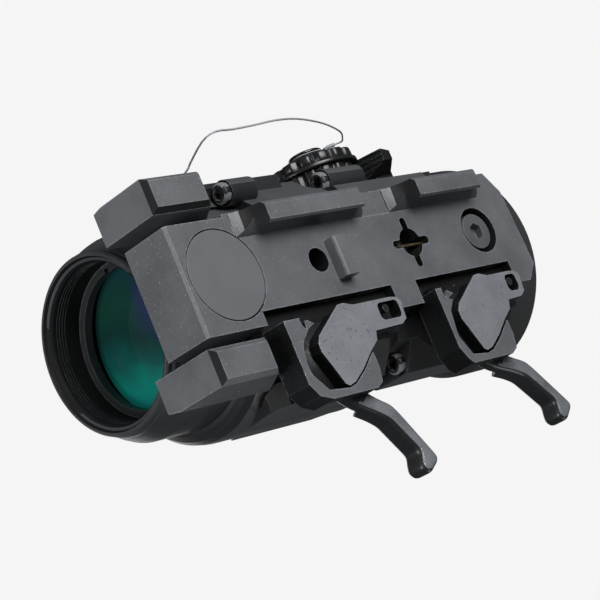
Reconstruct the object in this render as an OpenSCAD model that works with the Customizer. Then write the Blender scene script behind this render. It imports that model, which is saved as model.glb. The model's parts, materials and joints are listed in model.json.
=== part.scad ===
// Compact prism sight on a quick-detach rail mount.
// Frame: +Y is the way the sight looks, +X is the side with the throw levers, +Z is up.
// z = 0 is the flat seat that rests on the rail, y = 0 is the middle of the recoil lug.

/* [Optics] */
// Height of the optical axis above the rail seat
axis_h = 33.6; // [33.4:0.1:34.2]
// Outer radius of the objective rim
rim_r = 19.3; // [19:0.1:19.6]
// Front face of the objective rim
rim_y = 39.2; // [38.8:0.1:40]
// Clear radius of the objective
clear_r = 15.2; // [14.5:0.1:15.4]
// Radius of the front tube
tube_r = 25.4; // [25.3:0.1:25.6]
// Radius of the rear tube
rear_r = 22.6; // [22.4:0.1:23]
// Radius of the rubber eyecup
cup_r = 24.6; // [24:0.1:25]
// Rear end of the rubber eyecup
cup_y = -81.6; // [-82:0.2:-81.4]

/* [Mount] */
// Width across the nose of the base
nose_w = 23.8; // [23:0.1:24.4]
// Front face of the nose
nose_y = 43.2; // [42.8:0.1:44]
// Thickness of the base plate
base_t = 6; // [5.8:0.1:6]
// Sideways place of the middle of the rail
rail_x = 0.8; // [0.7:0.05:0.9]
// Half width of the flat top of a standard accessory rail
rail_flat = 7.83; // [7.7:0.01:7.85]
// Depth of the widest line of the rail below its top
rail_apex = 2.77; // [2.7:0.01:2.8]

/* [Clamps] */
// Sideways place of the lever pivots
pivot_x = 21.7; // [21.6:0.1:21.8]
// Place of the front lever pivot along the sight
front_y = 12.8; // [12.7:0.1:12.9]
// Place of the rear lever pivot along the sight
rear_y = -31.6; // [-31.7:0.1:-31.5]
// How far the open front lever is turned from straight sideways
front_open = -31.4; // [-33:0.1:-31]
// How far the open rear lever is turned from straight sideways
rear_open = -40; // [-41:0.1:-39]
// Bottom face of the jaws and brackets
jaw_z = -4; // [-4.2:0.1:-4]

/* [Controls] */
// Place of the brightness dial along the sight
dial_y = -41.4; // [-41.5:0.1:-41]
// Outer radius of the battery cap
cap_r = 10.4; // [10.2:0.1:10.5]
// Outer face of the battery cap's hub
cap_x = -35.1; // [-35.2:0.05:-35.05]
// Place of the magnification lever's shaft along the sight
mag_y = -58; // [-58.2:0.1:-57.8]

/* [Hidden] */
$fn = 96;

run = 0.05;            // clearance of a running fit
eps = 0.01;            // lets a cut pass through a face
black = [0.10, 0.10, 0.11];
grey = [0.34, 0.36, 0.38];
steel = [0.52, 0.54, 0.56];
brass = [0.78, 0.62, 0.30];
glass = [0.10, 0.42, 0.40];

// Rail clamp
foot_x = rail_x - rail_flat;        // where the fixed hooks leave the seat
recess_x = 8.85;                    // inner wall of the two clamp recesses
recess_front = [-12.6, 26.5];       // front recess along the sight
recess_rear = [-52.9, -20.6];       // rear recess along the sight
shelf_z = 2.6;                      // underside of the shelf above the clamps
hook_tip = -5.5;                    // lowest point of the fixed hooks
hook_out = -12.3;                   // outer face of the fixed hooks
jaw_top = -0.8;                     // top of the jaws
housing_y = 26;                     // joint between the housing and the objective bell
lens_y = 28.3;                      // front of the objective lens
cell_r = 16.65;                     // bore that holds the objective lens
filter_r = 16.9;                    // open bore in front of the lens
lens_stop = 30.4;                   // front of the ring that retains the lens
hub_r = 8;                          // lever hub
arm_t = 5.2;                        // height of a lever arm
cam_r = 3;                          // cam under the lever hub
cam_throw = 1.38;                   // how far the cam is off the lever's axis
cam_lead = -29.3;                   // turn of the cam ahead of the lever
jaw_rate = 0.02304;                 // jaw travel for each degree of lever

// Zeroing mechanism
pin_r = 2.9;                        // cross pin that the optics tilt about
tilt_y = 11.5;
tilt_z = 13.6;
swing_y = 32;                       // upright pin that the optics swing about
wind_y = -19.6;                     // windage screw
wind_z = 17.2;
elev_x = 0.5;                       // elevation wheel
elev_y = -47.6;
plate_z = [6.1, 9.1];               // bottom and top of the traverse plate
keel_z = 8;                         // underside of the housing
channel_w = 11.2;                   // half width of the channel under the housing
pin_x = 14.2;                       // outer ends of the cross pin
bush_r = 3.9;                       // bushings of the cross pin
screw_ends = [-19.4, 17];             // ends of the windage screw
guide_r = 0.95;                     // bores of the pins that guide the jaws
guide_x = 14.3;                     // sideways place of those pins
cover_y = [-51.6, -27.2];           // ends of the top cover
cover_screws = [-30, -49];          // places of its screws along the sight
carrier_half = 7;                   // half thickness of the lens carrier

// Battery cap
grip_x = -32.3;                     // outer rim of its grip
shoulder_x = -33.9;                 // top of the cone between grip and hub
loop_x = -34.2;                     // loop of the tether around the hub
loop_r = 3.8;

// Socket screws that face forward in the sides of the housing: [seat along Y, height]
side_x = 22;
side_front = [8.6, 14.8];
side_rear = [-24.4, 17.2];
boss_r = 2.9;                       // their bosses
cheek_x = 14.25;                    // inner face of the cheek blocks
cheek_holes = [[23.6, 10.4], [21.6, 15]];

module block(lo, hi) translate(lo) cube(hi - lo);
module rod_x(r, x0, x1, y, z) translate([x0, y, z]) rotate([0, 90, 0]) cylinder(r = r, h = x1 - x0);
module rod_y(r, y0, y1, x = 0, z = axis_h)
    translate([x, y1, z]) rotate([90, 0, 0]) cylinder(r = r, h = y1 - y0);
module rod_z(r, z0, z1, x, y) translate([x, y, z0]) cylinder(r = r, h = z1 - z0);
module both_sides() { children(); mirror([1, 0, 0]) children(); }
// A section drawn as (x, z) and pushed along Y from y0 to y1
module along_y(y0, y1) translate([0, y1, 0]) rotate([90, 0, 0]) linear_extrude(y1 - y0) children();
// An outline drawn as (y, z) and pushed along X from x0 to x1
module along_x(x0, x1) translate([x0, 0, 0]) rotate([90, 0, 90]) linear_extrude(x1 - x0) children();
// A profile drawn as (radius, y) and turned about the optical axis
module turned() translate([0, 0, axis_h]) rotate([-90, 0, 0]) rotate_extrude() children();
module hex_socket(across, depth) cylinder(d = across / cos(30), h = depth, $fn = 6);

// ---------- base ----------

module base_outline() polygon([
    [-12.5, 27], [-12.5, -57], [-7.5, -60.5], [10.5, -61.5], [14.2, -58], [14.2, recess_rear[0]],
    [recess_x, recess_rear[0]], [recess_x, recess_rear[1]], [14.2, recess_rear[1]],
    [14.2, recess_front[0]], [recess_x, recess_front[0]], [recess_x, recess_front[1]],
    [nose_w / 2, recess_front[1]], [nose_w / 2, 27]
]);

module shelf_outlines() {
    polygon([
        [8, 26.4], [8, -12.6], [18.5, -12.6], [18.5, 4], [26.5, 4], [26.5, 18], [20.5, 24.4], [13.4, 24.4],
        [13.4, 26.4]
    ]);
    polygon([[8, -21.5], [8, -53], [18.5, -53], [18.5, -41.8], [23.2, -41.8], [26.5, -40.4],
             [26.5, -28.5], [20, -21.5]]);
}

// Hook that takes the far side of the rail: 45 degree seat, undercut and rounded crest
module hook(y0, y1) difference() {
    along_y(y0, y1) polygon([
        [foot_x, 0.5], [foot_x, 0], [foot_x - rail_apex, -rail_apex],
        [foot_x - rail_apex + 2.1, hook_tip + 0.6], [foot_x - rail_apex + 1.7, hook_tip],
        [hook_out + 0.8, hook_tip], [hook_out, hook_tip + 0.8], [hook_out, 0.5]
    ]);
    // scooped front end and leaning rear end
    rod_x(8, hook_out - 1, foot_x + 1, y1 + 2, -8);
    along_x(hook_out - 1, foot_x + 1) polygon([[y0 - 1, 0.2], [y0 + 4.4, -6], [y0 - 1, -6]]);
}

module mount_base() color(grey) difference() {
    union() {
        linear_extrude(base_t) base_outline();
        translate([0, 0, shelf_z]) linear_extrude(base_t - shelf_z) shelf_outlines();
        along_x(-nose_w / 2, nose_w / 2) polygon([
            [26.5, 0], [nose_y - 0.5, 0], [nose_y, 0.5], [nose_y, 13], [nose_y - 0.6, 13.6], [26.5, 13.6]
        ]);
        hook(-12.5, 25.5);
        hook(-51.5, -21.4);
    }
    // shallow step between the two hooks
    block([-14, -21.4, -1], [foot_x, -12.5, 0.25]);
    // the nose clears the round belly of the objective
    rod_y(23.2, 20, rim_y + 0.8);
    // seat of the pivot cover, bore of the swing pin and slot of the traverse plate
    rod_z(10, -eps, 2.6, 0, swing_y);
    rod_z(4, 2.5, 10, 0, swing_y);
    block([-10, 20, plate_z[0] - run], [10, 40, plate_z[1] + run]);
    // recoil lug mortise
    block([-3.3, -1.8, -eps], [5.7, 1.8, 2]);
    // round and cross-shaped openings
    rod_z(2.7, -1, 7, 0.5, 5.3);
    rod_z(3.3, -1, 7, 0.4, -24.3);
    for (a = [0, 90]) translate([0.4, -24.3, -1]) rotate([0, 0, a]) {
        translate([-4.9, -0.9, 0]) cube([9.8, 1.8, 8]);
        for (s = [-4.9, 4.9]) translate([s, 0, 0]) cylinder(r = 0.9, h = 8, $fn = 32);
    }
    // holes that hold the wire across the cross-shaped opening
    rod_y(0.4, -31.2, -17.4, 0.4, 2.2);
    // recess and running bore of the elevation axle
    rod_z(5.4, -eps, 3.4, elev_x, elev_y);
    rod_z(1.8 + run, 3, 7, elev_x, elev_y);
    // clamp screws, lever pins and guide pins
    for (y = [front_y, rear_y]) {
        rod_z(2.3, -1, shelf_z + eps, pivot_x - 8.3, y + 6.7);
        rod_z(1.25, 0, 5.5, pivot_x - 8.3, y + 6.7);
        rod_z(1.8, 0, 7, pivot_x, y);
    }
    for (y = guide_y) rod_z(guide_r, 0, 5, guide_x, y);
}

module pivot_cover() color(grey) difference() {
    rod_z(9.72, 0, 2.6, 0, swing_y);
    rod_z(2.2, 1.3, 3, 0, swing_y);
}

module pivot_pin() color(steel) rod_z(4 - run, 2.6, 9.6, 0, swing_y);

module recoil_lug() color(grey) difference() {
    block([-3.3, -1.8, -3], [5.7, 1.8, 2]);
    along_x(-4, 6) polygon([[1.3, -3.1], [1.9, -3.1], [1.9, -2.4]]);
}

// Block that the windage screw turns in, fixed on the base
module windage_nut() color(black) difference() {
    union() {
        block([-4, -27.4, base_t], [4, wind_y + 4, 12]);
        block([-4, wind_y - 4, base_t], [4, wind_y + 4, wind_z + 3.2]);
        rod_z(3.3, 4.8, base_t, 0.4, -24.3);
        // stem and eye that the lock wire runs through
        rod_z(0.6, 2.2, base_t, 0.4, -21.8);
        rod_y(0.9, -22.1, -21.5, 0.4, 2.2);
    }
    rod_x(2 + 0.1, -5, 5, wind_y, wind_z);
    rod_y(0.4, -31, -17, 0.4, 2.2);
}

module nut_lock_wire() color(brass) {
    rod_y(0.38, -31, -17.6, 0.4, 2.2, $fn = 24);
}

// ---------- clamps ----------

guide_y = [front_y - 17.4, rear_y - 14.8];   // places of the guide pins along the sight

// Outline of a jaw about its lever's pivot, arm_y is the rear end of its arm
module jaw_outline(arm_y) polygon([
    [-10.2, -4.6], [-10, -2.9], [-4.6, 5.4], [-3.1, 6.4], [-1.2, 6.5], [2.1, 5.1], [6.2, 3.5], [6.8, 2.6],
    [6.3, 0.6], [4, -3.2], [0.9, -7.2], [-1, -10.2], [-3, -11], [-3.2, arm_y + 2.2], [-4.2, arm_y + 0.5],
    [-8.2, arm_y], [-9.1, arm_y + 0.9], [-9.4, arm_y + 3], [-9.4, -7.4]
]);

// Window through a jaw from corner lo to corner hi, with rounded corners
module rounded_window(lo, hi, r) {
    block([lo[0] + r, lo[1], jaw_z - 1], [hi[0] - r, hi[1], 2]);
    block([lo[0], lo[1] + r, jaw_z - 1], [hi[0], hi[1] - r, 2]);
    for (x = [lo[0] + r, hi[0] - r], y = [lo[1] + r, hi[1] - r]) rod_z(r, jaw_z - 1, 2, x, y);
}

// Sliding jaw: nose shaped to the lower flank of the rail, window in the arm, slot for the cam
module jaw(y, arm_y, window, shift, cam_angle) color(steel) translate([shift, 0, 0]) difference() {
    translate([pivot_x, y, jaw_z]) linear_extrude(jaw_top - jaw_z) jaw_outline(arm_y);
    // room for the rail's widest line when the jaw is shut
    along_y(y - 30, y + 20) polygon([
        [0, jaw_z - 1.2], [pivot_x - 11.35, jaw_z - 1.2], [pivot_x - 8.85, jaw_z + 1.3],
        [pivot_x - 8.85, 1], [0, 1]
    ]);
    rounded_window([pivot_x - 8.6, y + window[0]], [pivot_x - 4.8, y + window[1]], 1.1);
    // blind slot for the cam, a little longer than wide
    slot_r = cam_r + 0.08;
    slot_x = pivot_x - shift + cam_throw * cos(cam_angle);
    slot_y = y + cam_throw * sin(cam_angle);
    for (s = [-0.35, 0.35]) rod_z(slot_r, jaw_z + 0.7, 1, slot_x, slot_y + s);
    block([slot_x - slot_r, slot_y - 0.35, jaw_z + 0.7], [slot_x + slot_r, slot_y + 0.35, 1]);
}

// Bracket that carries a lever and guides its jaw
module bracket(y, long) color(steel) difference() {
    translate([pivot_x, y, jaw_z]) linear_extrude(shelf_z - jaw_z) difference() {
        polygon([
            [-9, 13.4 - 2.5 * long], [4.6, 13.4 - 2.5 * long], [7.4, 11.6 - 2.2 * long], [8.6, 8.2],
            [8.6, -5], [7.6, -6.9], [4.6, -7.7], [-2.5, -7.7], [-9, 3.4]
        ]);
    }
    // lower pocket: the jaw and the crescent in front of it
    translate([pivot_x, y, jaw_z - 1]) linear_extrude(jaw_top - jaw_z + 1 + run) {
        polygon([
            [-9.5, 3.8], [-3.6, 10.8 - 2 * long], [2.1, 12 - 2.2 * long], [6.6, 8.6 - long], [7.15, 2.7],
            [6.65, 0.5], [4.35, -3.3], [1.25, -7.3], [1, -9], [-12, -9]
        ]);
    }
    // upper pocket: the lever hub and the sweep of its arm
    rod_z(hub_r + 0.2, jaw_top, 4, pivot_x, y);
    translate([pivot_x, y, jaw_top]) linear_extrude(5) polygon([
        [0, -12], [-8.2, -12], [-8.2, 0], [0, 8], [7.6, 7.6], [12, 7.6], [12, -12]
    ]);
    rod_z(2.3, jaw_z - 1, 1.8, pivot_x - 8.3, y + 6.7);
    rod_z(1.3, 1, 4, pivot_x - 8.3, y + 6.7);
}

module front_clamp_bracket() bracket(front_y, 0);
module rear_clamp_bracket() bracket(rear_y, 1);

module clamp_screws() color(black) for (y = [front_y, rear_y]) difference() {
    union() {
        rod_z(2.2, 0, 1.8, pivot_x - 8.3, y + 6.7);
        rod_z(1.2, 0, 5.4, pivot_x - 8.3, y + 6.7);
    }
    translate([pivot_x - 8.3, y + 6.7, -eps]) hex_socket(2, 1);
}

module lever_pins() color(steel) for (y = [front_y, rear_y]) rod_z(1.8 - run, 0.15, base_t, pivot_x, y);
module jaw_guide_pins() color(steel) for (y = guide_y) rod_z(guide_r - run, -3.2, 4.8, guide_x, y, $fn = 32);

// Throw lever drawn with its arm along +X, turned to its open place
module lever(y, open) color(black) translate([pivot_x, y, 0]) rotate([0, 0, open]) difference() {
    union() {
        translate([0, 0, jaw_top + run]) cylinder(r = hub_r, h = shelf_z - jaw_top - 2 * run);
        // cam that drives the jaw
        rotate([0, 0, cam_lead]) translate([cam_throw, 0, jaw_z + 0.8]) cylinder(r = cam_r, h = 3);
        translate([0, 0, jaw_top + run]) linear_extrude(shelf_z - jaw_top - 2 * run)
            polygon([[4, 6.4], [8.6, 5], [11.3, 3.7], [10.4, -0.5], [4, 0.4]]);
        // arm with its bulged thumb end
        translate([0, 0, jaw_top + run]) linear_extrude(arm_t) polygon([
            [10.6, 4], [14.5, 1.8], [16, 1], [17.2, 0.7], [26.4, 0.65], [27, 1.1], [27.3, 2.2], [28.3, 3.1],
            [29.5, 3.2], [30.6, 2.5], [30.8, -1.4], [30.2, -2], [28.7, -2.4], [17.9, -3.05], [16.8, -3],
            [12.6, -1.4], [10.6, -0.6]
        ]);
    }
    translate([0, 0, jaw_top + 0.9]) cylinder(r = 1.8, h = 6);
}

module front_jaw() jaw(front_y, -21.8, [-20.6, -14.2], 0, front_open + cam_lead);
module front_lever() lever(front_y, front_open);
module rear_jaw()
    jaw(rear_y, -17.9, [-16.3, -12.6], jaw_rate * (rear_open - front_open), rear_open + cam_lead);
module rear_lever() lever(rear_y, rear_open);

// ---------- zeroing mechanism ----------

module traverse_plate() color(black) difference() {
    union() {
        block([-9.4, -31, plate_z[0]], [9.4, 26, plate_z[1]]);
        block([-9, 24, plate_z[0]], [9, 36, plate_z[1]]);
        both_sides() block([6, tilt_y - 4.2, plate_z[0]], [9.4, tilt_y + 4.2, tilt_z + 3.8]);
        both_sides() block([5.6, wind_y - 3.4, plate_z[0]], [9.4, wind_y + 3.4, wind_z + 3]);
    }
    rod_z(4 + run, 5, 10, 0, swing_y);
    rod_x(pin_r + run, -11, 11, tilt_y, tilt_z);
    rod_x(2 + run, -11, 11, wind_y, wind_z);
    // opening for the windage nut
    block([-5, -28.6, 5], [5, wind_y + 5, 10]);
}

module tilt_pin() color(steel) rod_x(pin_r, -pin_x, pin_x, tilt_y, tilt_z);

// Screw along X, turned with a key from the left
module windage_screw() color(steel) difference() {
    union() {
        rod_x(2, screw_ends[0], screw_ends[1], wind_y, wind_z);
        rod_x(2.7, screw_ends[0], screw_ends[0] + 4, wind_y, wind_z);
    }
    translate([screw_ends[0] - eps, wind_y, wind_z]) rotate([0, 90, 0]) hex_socket(3, 2.4);
}

// Coil spring from z0 to z1, built from short straight lengths of wire
module coil(r, wire, turns, z0, z1, x, y) {
    steps = 14 * turns;
    function at(i) = [x + r * cos(360 * i / 14), y + r * sin(360 * i / 14),
                      z0 + wire + (z1 - z0 - 2 * wire) * i / steps];
    for (i = [0 : steps - 1]) hull() {
        translate(at(i)) sphere(r = wire, $fn = 8);
        translate(at(i + 1)) sphere(r = wire, $fn = 8);
    }
}
module preload_spring() color(steel) coil(3.6, 0.45, 3, plate_z[1] + 0.02, 15.78, 0, 20);

module elevation_wheel() color(black) difference() {
    union() {
        rod_z(13, base_t + run, 10.6, elev_x, elev_y);
        rod_z(3, 10, 13, elev_x, elev_y);
    }
    rod_z(1.5, 0, 12, elev_x, elev_y);
    for (i = [0 : 35]) translate([elev_x, elev_y, 0]) rotate([0, 0, 10 * i])
        rod_z(0.45, 5, 11, 13.1, 0, $fn = 16);
}

module elevation_axle() color(steel) difference() {
    union() {
        rod_z(4.2, 0.6, 3.35, elev_x, elev_y);
        rod_z(1.8, 3, base_t + run, elev_x, elev_y);
        rod_z(1.5, base_t, 11.8, elev_x, elev_y);
    }
    translate([elev_x, elev_y, 0.6 - eps]) hex_socket(3.5, 2);
}

module elevation_nut() color(brass) difference() {
    intersection() {
        rod_z(5.5, 11.15, 14.2, elev_x, elev_y);
        block([elev_x - 4.6, elev_y - 6, 11], [elev_x + 4.6, elev_y + 6, 15]);
    }
    rod_z(3 + run, 11, 13.7, elev_x, elev_y);
}

// ---------- housing ----------

// Raised side panels of the front housing, drawn as (y, z)
module panel_outline() polygon([
    [10, 39], [10.8, 37.5], [14.6, 20], [12, 16.4], [-11, 16.4], [-21, 28], [-21, 36], [-15, 39]
]);

// Section of the housing between its round top and its flat keel, drawn as (x, z)
module keel_section(half, knee, top) polygon([
    [-half, keel_z], [half, keel_z], knee, [top, 18], [top, 30], [-top, 30], [-top, 18], [-knee[0], knee[1]]
]);

module housing_body() {
    turned() polygon([
        [0, housing_y], [21.9, housing_y], [21.9, 20.2], [22.8, 20], [24.2, 19], [25.1, 17.5],
        [tube_r, 15.5], [tube_r, -23], [rear_r, -27], [rear_r, -54], [0, -54]
    ]);
    along_y(8, housing_y) polygon([[-cheek_x, keel_z], [cheek_x, keel_z], [cheek_x, 20], [-cheek_x, 20]]);
    along_y(-20, 5) keel_section(14, [19, 13.4], 23.6);
    along_y(-54, -20) keel_section(14.6, [18.6, 10.5], 20.4);
    both_sides() along_x(20, 25.2) panel_outline();
    // bosses of the side screws, the right rear one inside a wider wall
    both_sides() rod_y(boss_r, 1, side_front[0], side_x, side_front[1]);
    both_sides() rod_y(boss_r, -36, side_rear[0], side_x, side_rear[1]);
    rod_y(3.9, 1, side_front[0], side_x, side_front[1]);
    along_y(-54, side_rear[0]) polygon([[10, 9], [17.4, 9.8], [25, 15.5], [25, 26], [20, 33], [10, 33]]);
    // flat that takes the top cover and boss of the battery tube
    block([-13, -52, 45], [13, -22, 56.4]);
    rod_x(9.8, -24.4, -18, dial_y, axis_h);
    // boss of the tether screw
    rod_x(2.4, -25.4, -20, 18, 27);
}

// Bore and head recess of a side screw
module side_screw_hole(seat) {
    rod_y(1.5, seat[0] - 9, seat[0], side_x, seat[1]);
    rod_y(2.7, seat[0] - 1.2, seat[0] + 3, side_x, seat[1]);
}

module main_housing() color(black) difference() {
    housing_body();
    // channel over the traverse plate, with pockets for its lugs
    block([-channel_w, -33, 7], [channel_w, 30, 12.5]);
    both_sides() block([5.2, tilt_y - 5, 10], [channel_w, tilt_y + 5, tilt_z + 4.4]);
    block([-channel_w, wind_y - 4.4, 10], [channel_w, wind_y + 4.4, wind_z + 3.6]);
    rod_z(4.6, 10, 15.8, 0, 20);
    // optical bores: objective seat, throat, prism chamber, reticle seat and carrier space
    rod_y(cell_r, lens_y - 9.9, 30);
    rod_y(14.2, 5, 20);
    rod_y(11, -30, 6);
    rod_y(17, -43, -29.2);
    rod_y(12, -55, -42);
    rod_y(15.6, -55, -47.8);
    // finger slot and pocket of the elevation wheel and nut
    rod_z(14.2, 7, 11.4, elev_x, elev_y);
    block([-30, elev_y - 10, 7], [30, -50, 11.4]);
    rod_z(6.4, 10, 14.32, elev_x, elev_y);
    // cross pin, open to the left, and its bushings
    rod_x(pin_r + 0.3, -17, pin_x + 0.1, tilt_y, tilt_z);
    both_sides() rod_x(bush_r, 11, pin_x, tilt_y, tilt_z);
    rod_x(3.1, -30, screw_ends[1] + 0.6, wind_y, wind_z);
    both_sides() side_screw_hole(side_front);
    both_sides() side_screw_hole(side_rear);
    // cheek screws
    both_sides() for (p = cheek_holes) {
        rod_x(1.5, 11, 20, p[0], p[1]);
        rod_x(2.2, 10, 13.1, p[0], p[1]);
    }
    // battery tube and reticle lamp
    rod_x(7, -30, -20.2, dial_y, axis_h);
    rod_x(1.6, -21, -11, dial_y - 4.2, axis_h);
    // top cover, its screws and the opening that the prism drops in through
    block([-14, cover_y[0] - 1, 56.4], [14, cover_y[1] + 0.1, 60]);
    for (x = [-10, 10], y = cover_screws) rod_z(1, 50, 57, x, y);
    block([-8, -42, 45], [8, -30, 58]);
    // tether screw
    rod_x(1, -26, -20.6, 18, 27);
}

// Cap screw with a bevelled head that faces forward
module side_screw(seat) difference() {
    union() {
        rod_y(1.5, seat[0] - 8.6, seat[0], side_x, seat[1], $fn = 32);
        rod_y(2.4, seat[0] - 1.2, seat[0] + 1.1, side_x, seat[1]);
        translate([side_x, seat[0] + 1.1, seat[1]]) rotate([-90, 0, 0]) cylinder(r1 = 2.4, r2 = 1.9, h = 0.5);
    }
    translate([side_x, seat[0] + 1.6 + eps, seat[1]]) rotate([90, 0, 0]) hex_socket(2.6, 1.6);
}
module side_screws() color(steel) both_sides() for (seat = [side_front, side_rear]) side_screw(seat);

// Cheek block beside the nose, drawn on the +X side
module cheek(top) difference() {
    along_x(cheek_x, 22) polygon([
        [44.4, -2], [45.3, -0.6], [45.3, top - 0.8], [44.6, top], [18.2, top], [18.2, 15.6], [30.5, -2]
    ]);
    rod_y(tube_r + run, 10, 20.4);
    rod_y(22.6 + run, 20, 39.8);
    // bevels along the lower edges and the outer top corner
    along_y(10, 50) polygon([[21, -2.1], [23, -2.1], [23, 0], [22, -0.6]]);
    along_y(10, 50) polygon([[14, -2.1], [15.4, -2.1], [14.3, -0.6], [14, -0.6]]);
    along_y(10, 50) polygon([[22, 12.5], [23, 12.5], [23, 18], [19.6, 18], [20.3, 17], [21.4, 15.8]]);
    // index dot and lines
    rod_x(0.5, 21.7, 23, 39.4, 12, $fn = 24);
    block([21.8, 33.6, 7], [23, 35.4, 7.5]);
    block([21.8, 31.6, 9.6], [23, 33.6, 10.1]);
    for (p = cheek_holes) rod_x(1.25, 14, 19.6, p[0], p[1]);
}
module right_cheek() color(black) cheek(17);
module left_cheek() color(black) mirror([1, 0, 0]) cheek(15.8);

module cheek_screws() color(steel) both_sides() for (p = cheek_holes) difference() {
    union() {
        rod_x(1.2, 12, 19.4, p[0], p[1], $fn = 32);
        rod_x(2.1, 11.4, 13.1, p[0], p[1], $fn = 32);
    }
    translate([11.4 - eps, p[0], p[1]]) rotate([0, 90, 0]) hex_socket(2, 1);
}

module tilt_bushings() color(brass) both_sides() difference() {
    rod_x(bush_r, 11.3, pin_x, tilt_y, tilt_z);
    rod_x(pin_r + run, 10, 15, tilt_y, tilt_z);
}

// ---------- objective ----------

module objective_bell() color(black) difference() {
    turned() polygon([
        [cell_r, housing_y], [21.9, housing_y], [21.9, 31.6], [21.4, 33], [20.4, 35.2], [19.9, 36.2],
        [19.7, 37.4],
        [rim_r, 37.8], [rim_r, rim_y - 0.4], [rim_r - 0.4, rim_y], [18.4, rim_y], [18, rim_y - 0.7],
        [17.4, rim_y - 0.8], [17, 37.9], [filter_r, 37.6], [filter_r, lens_stop], [cell_r, lens_stop]
    ]);
    // filter thread, as a run of fine grooves
    for (y = [34.4 : 0.75 : 37.2]) rod_y(17.15, y, y + 0.3);
}

module ring_y(r_out, r_in, y0, y1) difference() {
    rod_y(r_out, y0, y1);
    rod_y(r_in, y0 - 1, y1 + 1);
}

module objective_retainer() color(black) difference() {
    ring_y(cell_r, clear_r, lens_y, lens_stop);
    for (a = [0, 180]) translate([0, 0, axis_h]) rotate([0, a, 0])
        block([clear_r - 0.5, lens_stop - 1, -0.8], [16, lens_stop + 1, 0.8]);
}

module objective_crown() color(glass) intersection() {
    rod_y(16.6, lens_y - 6.4, lens_y);
    translate([0, lens_y - 60, axis_h]) sphere(r = 60, $fn = 180);
}
module objective_flint() color(glass) difference() {
    rod_y(16.6, lens_y - 9.8, lens_y - 6.4);
    translate([0, lens_y - 9 - 90, axis_h]) sphere(r = 90, $fn = 180);
}

// ---------- prism and reticle ----------

module prism_cradle() color(black) difference() {
    ring_y(17, 15.8, -43, -29.2);
    block([-8, -44, 45], [8, -27, 60]);
    block([-8, -41, 10], [8, -30, 19.5]);
}

// The two halves of the roof prism, drawn as (y, z - axis_h)
module prism(outline) translate([0, 0, axis_h]) along_x(-8, 8) polygon(outline);
module prism_front() color(glass) prism([[-29.3, -9], [-29.3, 9.4], [-33.4, 12], [-39, 9.8], [-30.8, -9]]);
module prism_rear() color(glass)
    prism([[-31.2, -9.6], [-39.5, 9.4], [-42.6, 9.4], [-42.6, -9.6], [-37, -12.2]]);

module reticle_cell() color(black) ring_y(12, 8.5, -47.5, -44.5);
module reticle_glass() color(glass) rod_y(8.5, -47, -45.2);
module reticle_lamp() color(steel) rod_x(1.55, -16.8, -12.2, dial_y - 4.2, axis_h, $fn = 32);

module top_cover() color(black) difference() {
    along_y(cover_y[0], cover_y[1]) polygon([
        [-12.6, 56.4], [12.6, 56.4], [12.6, 57.4], [11.6, 58.4], [-11.6, 58.4], [-12.6, 57.4]
    ]);
    for (x = [-10, 10], y = cover_screws) {
        rod_z(1.2, 56, 59, x, y);
        rod_z(2.1, 57.2, 59, x, y);
    }
}
module top_cover_screws() color(steel) for (x = [-10, 10], y = cover_screws) difference() {
    union() {
        rod_z(0.95, 51, 57.4, x, y, $fn = 32);
        rod_z(2, 57.2, 58.5, x, y, $fn = 32);
    }
    translate([x, y, 57.7]) hex_socket(1.6, 1);
}

// ---------- eyepiece ----------

eye_y = [-77.2, -69.2];             // ends of the eyepiece tube that the eyecup slips over

module eyepiece_body() color(black) difference() {
    union() {
        turned() polygon([
            [10, -54], [22, -54], [22, eye_y[1] + 0.8], [21.2, eye_y[1]], [19.4, eye_y[1]],
            [19.4, eye_y[0]], [10, eye_y[0]]
        ]);
        // boss of the magnification lever
        rod_x(7.4, -22.6, -15, mag_y, axis_h);
    }
    rod_y(16.2, -69, -53);
    block([-24, -54, 24], [-14, -50, 44]);
    rod_y(17.4, eye_y[0] - 1, -68.6);
    rod_x(3.6, -23, -15, mag_y, axis_h);
    rod_x(3.6, 14, 19.7, mag_y, axis_h);
}

module field_lens() color(glass) intersection() {
    rod_y(17.4, -72.2, -68.6);
    translate([0, -68.6 - 50, axis_h]) sphere(r = 50, $fn = 180);
}
module lens_spacer() color(black) ring_y(17.4, 16, -73.2, -72.2);
module eye_lens() color(glass) intersection() {
    rod_y(17.4, -76.2, -73.2);
    translate([0, -76.2 + 55, axis_h]) sphere(r = 55, $fn = 180);
}
module eyepiece_retainer() color(black) ring_y(17.4, 15.6, eye_y[0], -76.2);

module eyecup() color(black) turned() polygon([
    [19.4, eye_y[1] - 0.1], [22.4, eye_y[1] - 0.1], [22.4, -66], [cup_r - 0.8, -66], [cup_r, -66.8],
    [cup_r, cup_y + 6], [cup_r - 1, cup_y + 4.6], [cup_r - 2.6, cup_y + 2.6], [cup_r - 4.4, cup_y + 0.5],
    [cup_r - 5.4, cup_y], [17.9, cup_y], [17.4, cup_y + 0.5],
    [17.4, eye_y[0]], [19.4, eye_y[0]]
]);

// ---------- magnification change ----------

// Block with a clear bore along Y and a lens bore along Z, turned by the side lever
module lens_carrier() color(black) difference() {
    union() {
        block([-11.5, mag_y - carrier_half, axis_h - carrier_half],
              [11.5, mag_y + carrier_half, axis_h + carrier_half]);
        rod_x(2.4, -26.8, -11.5, mag_y, axis_h);
        rod_x(2.4, 11.5, 19.4, mag_y, axis_h);
    }
    rod_y(5.6, mag_y - 9, mag_y + 9);
    rod_z(5.8, axis_h - 9, axis_h + 9, 0, mag_y);
    rod_x(0.9, -27, -20, mag_y, axis_h);
}

module carrier_lenses() color(glass) for (s = [-1, 1])
    rod_z(5.8, axis_h + s * 5.8 - 0.8, axis_h + s * 5.8 + 0.8, 0, mag_y);

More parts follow.
